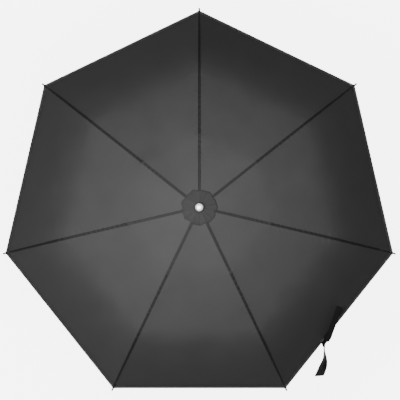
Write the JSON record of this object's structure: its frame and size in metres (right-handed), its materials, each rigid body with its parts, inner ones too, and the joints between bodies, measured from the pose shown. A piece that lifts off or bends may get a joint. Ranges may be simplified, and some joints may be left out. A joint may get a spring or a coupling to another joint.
{
  "type": "folding umbrella",
  "caption": "Three-fold umbrella shown open: taut dark fabric canopy on jointed ribs, telescopic shaft, sliding runner, push-button handle and closure strap.",
  "frame": {"origin": "centre of the flat end face of the handle, which is where the object is held and stood", "axes": "+Z along the shaft from the handle to the crown, +Y towards the first rib, +X to the right when the canopy is seen from above with +Y up"},
  "size_m": [0.9344, 0.911, 0.5638],
  "materials": {
    "canopy_fabric": "plain woven, taut, slight sheen",
    "trim_fabric": "dense ribbon weave, matt",
    "rib_steel": "rolled and plated",
    "spring_wire": "drawn spring wire",
    "outer_rod": "drawn rod, plated",
    "shaft_steel": "plated, faint draw lines",
    "frame_plastic": "moulded, fine grain",
    "tip_plastic": "moulded",
    "grip_plastic": "soft-touch coat",
    "ferrule": "pale silver, satin"
  },
  "bodies": {
    "handle": {"handle_grip": "grip_plastic", "handle_cap": "frame_plastic", "lower_tube": "shaft_steel"},
    "button": {"handle_button": "frame_plastic"},
    "middle_shaft": {"middle_tube": "shaft_steel"},
    "upper_shaft": {"upper_tube": "shaft_steel", "top_notch": "frame_plastic", "ferrule_cap": "ferrule", "top_rosette": "trim_fabric", "canopy_panel_1": "canopy_fabric", "canopy_panel_2": "canopy_fabric", "canopy_panel_3": "canopy_fabric", "canopy_panel_4": "canopy_fabric", "canopy_panel_5": "canopy_fabric", "canopy_panel_6": "canopy_fabric", "canopy_panel_7": "canopy_fabric"},
    "runner": {"runner": "frame_plastic"},
    "rib_inner_1": {"inner_rib_1": "rib_steel"},
    "strut_1": {"stretcher_1": "rib_steel"},
    "rib_middle_1": {"middle_rib_1": "rib_steel", "link_wire_1": "spring_wire"},
    "rib_outer_1": {"outer_rib_1": "outer_rod", "rib_tip_1": "tip_plastic"},
    "rib_inner_2": {"inner_rib_2": "rib_steel"},
    "strut_2": {"stretcher_2": "rib_steel"},
    "rib_middle_2": {"middle_rib_2": "rib_steel", "link_wire_2": "spring_wire"},
    "rib_outer_2": {"outer_rib_2": "outer_rod", "rib_tip_2": "tip_plastic"},
    "rib_inner_3": {"inner_rib_3": "rib_steel"},
    "strut_3": {"stretcher_3": "rib_steel"},
    "rib_middle_3": {"middle_rib_3": "rib_steel", "link_wire_3": "spring_wire"},
    "rib_outer_3": {"outer_rib_3": "outer_rod", "rib_tip_3": "tip_plastic"},
    "rib_inner_4": {"inner_rib_4": "rib_steel"},
    "strut_4": {"stretcher_4": "rib_steel"},
    "rib_middle_4": {"middle_rib_4": "rib_steel", "link_wire_4": "spring_wire"},
    "rib_outer_4": {"outer_rib_4": "outer_rod", "rib_tip_4": "tip_plastic"},
    "rib_inner_5": {"inner_rib_5": "rib_steel"},
    "strut_5": {"stretcher_5": "rib_steel"},
    "rib_middle_5": {"middle_rib_5": "rib_steel", "link_wire_5": "spring_wire"},
    "rib_outer_5": {"outer_rib_5": "outer_rod", "rib_tip_5": "tip_plastic", "closure_strap": "trim_fabric"},
    "rib_inner_6": {"inner_rib_6": "rib_steel"},
    "strut_6": {"stretcher_6": "rib_steel"},
    "rib_middle_6": {"middle_rib_6": "rib_steel", "link_wire_6": "spring_wire"},
    "rib_outer_6": {"outer_rib_6": "outer_rod", "rib_tip_6": "tip_plastic"},
    "rib_inner_7": {"inner_rib_7": "rib_steel"},
    "strut_7": {"stretcher_7": "rib_steel"},
    "rib_middle_7": {"middle_rib_7": "rib_steel", "link_wire_7": "spring_wire"},
    "rib_outer_7": {"outer_rib_7": "outer_rod", "rib_tip_7": "tip_plastic"}
  },
  "joints": [
    {"name": "button_push", "type": "slide", "parent": "handle", "child": "button", "axis": [0, 1, 0], "range_m": [0, 0.002], "stiffness_N_per_m": 300, "springref_m": -0.003},
    {"name": "middle_tube_slide", "type": "slide", "parent": "handle", "child": "middle_shaft", "axis": [0, 0, -1], "range_m": [0, 0.131]},
    {"name": "upper_tube_slide", "type": "slide", "parent": "middle_shaft", "child": "upper_shaft", "axis": [0, 0, -1], "range_m": [0, 0.131]},
    {"name": "runner_slide", "type": "slide", "parent": "upper_shaft", "child": "runner", "axis": [0, 0, -1], "range_m": [0, 0.1505]},
    {"name": "crown_hinge_1", "type": "hinge", "parent": "upper_shaft", "child": "rib_inner_1", "pos_m": [0, 0.0092, 0.541], "axis": [-1, 0, 0], "range_deg": [0, 78], "deforming": ["canopy_panel_1", "canopy_panel_2", "canopy_panel_3", "canopy_panel_4", "canopy_panel_5", "canopy_panel_6", "canopy_panel_7", "closure_strap", "top_rosette"]},
    {"name": "stretcher_hinge_1", "type": "hinge", "parent": "rib_inner_1", "child": "strut_1", "pos_m": [0, 0.10212, 0.52125], "axis": [1, 0, 0], "range_deg": [0, 156]},
    {"name": "first_knee_1", "type": "hinge", "parent": "rib_inner_1", "child": "rib_middle_1", "pos_m": [0, 0.17024, 0.50984], "axis": [1, 0, 0], "range_deg": [0, 185]},
    {"name": "second_knee_1", "type": "hinge", "parent": "rib_middle_1", "child": "rib_outer_1", "pos_m": [0, 0.3368, 0.45264], "axis": [-1, 0, 0], "range_deg": [0, 155]},
    {"name": "crown_hinge_2", "type": "hinge", "parent": "upper_shaft", "child": "rib_inner_2", "pos_m": [-0.00719, 0.00574, 0.541], "axis": [-0.6235, -0.7818, 0], "range_deg": [0, 78]},
    {"name": "stretcher_hinge_2", "type": "hinge", "parent": "rib_inner_2", "child": "strut_2", "pos_m": [-0.07984, 0.06367, 0.52125], "axis": [0.6235, 0.7818, 0], "range_deg": [0, 156]},
    {"name": "first_knee_2", "type": "hinge", "parent": "rib_inner_2", "child": "rib_middle_2", "pos_m": [-0.1331, 0.10614, 0.50984], "axis": [0.6235, 0.7818, 0], "range_deg": [0, 185]},
    {"name": "second_knee_2", "type": "hinge", "parent": "rib_middle_2", "child": "rib_outer_2", "pos_m": [-0.26332, 0.20999, 0.45264], "axis": [-0.6235, -0.7818, 0], "range_deg": [0, 155]},
    {"name": "crown_hinge_3", "type": "hinge", "parent": "upper_shaft", "child": "rib_inner_3", "pos_m": [-0.00897, -0.00205, 0.541], "axis": [0.2225, -0.9749, 0], "range_deg": [0, 78]},
    {"name": "stretcher_hinge_3", "type": "hinge", "parent": "rib_inner_3", "child": "strut_3", "pos_m": [-0.09956, -0.02272, 0.52125], "axis": [-0.2225, 0.9749, 0], "range_deg": [0, 156]},
    {"name": "first_knee_3", "type": "hinge", "parent": "rib_inner_3", "child": "rib_middle_3", "pos_m": [-0.16597, -0.03788, 0.50984], "axis": [-0.2225, 0.9749, 0], "range_deg": [0, 185]},
    {"name": "second_knee_3", "type": "hinge", "parent": "rib_middle_3", "child": "rib_outer_3", "pos_m": [-0.32835, -0.07494, 0.45264], "axis": [0.2225, -0.9749, 0], "range_deg": [0, 155]},
    {"name": "crown_hinge_4", "type": "hinge", "parent": "upper_shaft", "child": "rib_inner_4", "pos_m": [-0.00399, -0.00829, 0.541], "axis": [0.901, -0.4339, 0], "range_deg": [0, 78]},
    {"name": "stretcher_hinge_4", "type": "hinge", "parent": "rib_inner_4", "child": "strut_4", "pos_m": [-0.04431, -0.09201, 0.52125], "axis": [-0.901, 0.4339, 0], "range_deg": [0, 156]},
    {"name": "first_knee_4", "type": "hinge", "parent": "rib_inner_4", "child": "rib_middle_4", "pos_m": [-0.07386, -0.15338, 0.50984], "axis": [-0.901, 0.4339, 0], "range_deg": [0, 185]},
    {"name": "second_knee_4", "type": "hinge", "parent": "rib_middle_4", "child": "rib_outer_4", "pos_m": [-0.14613, -0.30344, 0.45264], "axis": [0.901, -0.4339, 0], "range_deg": [0, 155]},
    {"name": "crown_hinge_5", "type": "hinge", "parent": "upper_shaft", "child": "rib_inner_5", "pos_m": [0.00399, -0.00829, 0.541], "axis": [0.901, 0.4339, 0], "range_deg": [0, 78]},
    {"name": "stretcher_hinge_5", "type": "hinge", "parent": "rib_inner_5", "child": "strut_5", "pos_m": [0.04431, -0.09201, 0.52125], "axis": [-0.901, -0.4339, 0], "range_deg": [0, 156]},
    {"name": "first_knee_5", "type": "hinge", "parent": "rib_inner_5", "child": "rib_middle_5", "pos_m": [0.07386, -0.15338, 0.50984], "axis": [-0.901, -0.4339, 0], "range_deg": [0, 185]},
    {"name": "second_knee_5", "type": "hinge", "parent": "rib_middle_5", "child": "rib_outer_5", "pos_m": [0.14613, -0.30344, 0.45264], "axis": [0.901, 0.4339, 0], "range_deg": [0, 155]},
    {"name": "crown_hinge_6", "type": "hinge", "parent": "upper_shaft", "child": "rib_inner_6", "pos_m": [0.00897, -0.00205, 0.541], "axis": [0.2225, 0.9749, 0], "range_deg": [0, 78]},
    {"name": "stretcher_hinge_6", "type": "hinge", "parent": "rib_inner_6", "child": "strut_6", "pos_m": [0.09956, -0.02272, 0.52125], "axis": [-0.2225, -0.9749, 0], "range_deg": [0, 156]},
    {"name": "first_knee_6", "type": "hinge", "parent": "rib_inner_6", "child": "rib_middle_6", "pos_m": [0.16597, -0.03788, 0.50984], "axis": [-0.2225, -0.9749, 0], "range_deg": [0, 185]},
    {"name": "second_knee_6", "type": "hinge", "parent": "rib_middle_6", "child": "rib_outer_6", "pos_m": [0.32835, -0.07494, 0.45264], "axis": [0.2225, 0.9749, 0], "range_deg": [0, 155]},
    {"name": "crown_hinge_7", "type": "hinge", "parent": "upper_shaft", "child": "rib_inner_7", "pos_m": [0.00719, 0.00574, 0.541], "axis": [-0.6235, 0.7818, 0], "range_deg": [0, 78]},
    {"name": "stretcher_hinge_7", "type": "hinge", "parent": "rib_inner_7", "child": "strut_7", "pos_m": [0.07984, 0.06367, 0.52125], "axis": [0.6235, -0.7818, 0], "range_deg": [0, 156]},
    {"name": "first_knee_7", "type": "hinge", "parent": "rib_inner_7", "child": "rib_middle_7", "pos_m": [0.1331, 0.10614, 0.50984], "axis": [0.6235, -0.7818, 0], "range_deg": [0, 185]},
    {"name": "second_knee_7", "type": "hinge", "parent": "rib_middle_7", "child": "rib_outer_7", "pos_m": [0.26332, 0.20999, 0.45264], "axis": [-0.6235, 0.7818, 0], "range_deg": [0, 155]}
  ],
  "couplings": [
    {"joint": "stretcher_hinge_1", "follows": "crown_hinge_1", "ratio": 2},
    {"joint": "first_knee_1", "follows": "crown_hinge_1", "ratio": 2.3718},
    {"joint": "second_knee_1", "follows": "crown_hinge_1", "ratio": 1.9872},
    {"joint": "crown_hinge_2", "follows": "crown_hinge_1", "ratio": 1},
    {"joint": "stretcher_hinge_2", "follows": "crown_hinge_1", "ratio": 2},
    {"joint": "first_knee_2", "follows": "crown_hinge_1", "ratio": 2.3718},
    {"joint": "second_knee_2", "follows": "crown_hinge_1", "ratio": 1.9872},
    {"joint": "crown_hinge_3", "follows": "crown_hinge_1", "ratio": 1},
    {"joint": "stretcher_hinge_3", "follows": "crown_hinge_1", "ratio": 2},
    {"joint": "first_knee_3", "follows": "crown_hinge_1", "ratio": 2.3718},
    {"joint": "second_knee_3", "follows": "crown_hinge_1", "ratio": 1.9872},
    {"joint": "crown_hinge_4", "follows": "crown_hinge_1", "ratio": 1},
    {"joint": "stretcher_hinge_4", "follows": "crown_hinge_1", "ratio": 2},
    {"joint": "first_knee_4", "follows": "crown_hinge_1", "ratio": 2.3718},
    {"joint": "second_knee_4", "follows": "crown_hinge_1", "ratio": 1.9872},
    {"joint": "crown_hinge_5", "follows": "crown_hinge_1", "ratio": 1},
    {"joint": "stretcher_hinge_5", "follows": "crown_hinge_1", "ratio": 2},
    {"joint": "first_knee_5", "follows": "crown_hinge_1", "ratio": 2.3718},
    {"joint": "second_knee_5", "follows": "crown_hinge_1", "ratio": 1.9872},
    {"joint": "crown_hinge_6", "follows": "crown_hinge_1", "ratio": 1},
    {"joint": "stretcher_hinge_6", "follows": "crown_hinge_1", "ratio": 2},
    {"joint": "first_knee_6", "follows": "crown_hinge_1", "ratio": 2.3718},
    {"joint": "second_knee_6", "follows": "crown_hinge_1", "ratio": 1.9872},
    {"joint": "crown_hinge_7", "follows": "crown_hinge_1", "ratio": 1},
    {"joint": "stretcher_hinge_7", "follows": "crown_hinge_1", "ratio": 2},
    {"joint": "first_knee_7", "follows": "crown_hinge_1", "ratio": 2.3718},
    {"joint": "second_knee_7", "follows": "crown_hinge_1", "ratio": 1.9872},
    {"joint": "runner_slide", "follows": "crown_hinge_1", "m_per_rad": 0.11055}
  ]
}
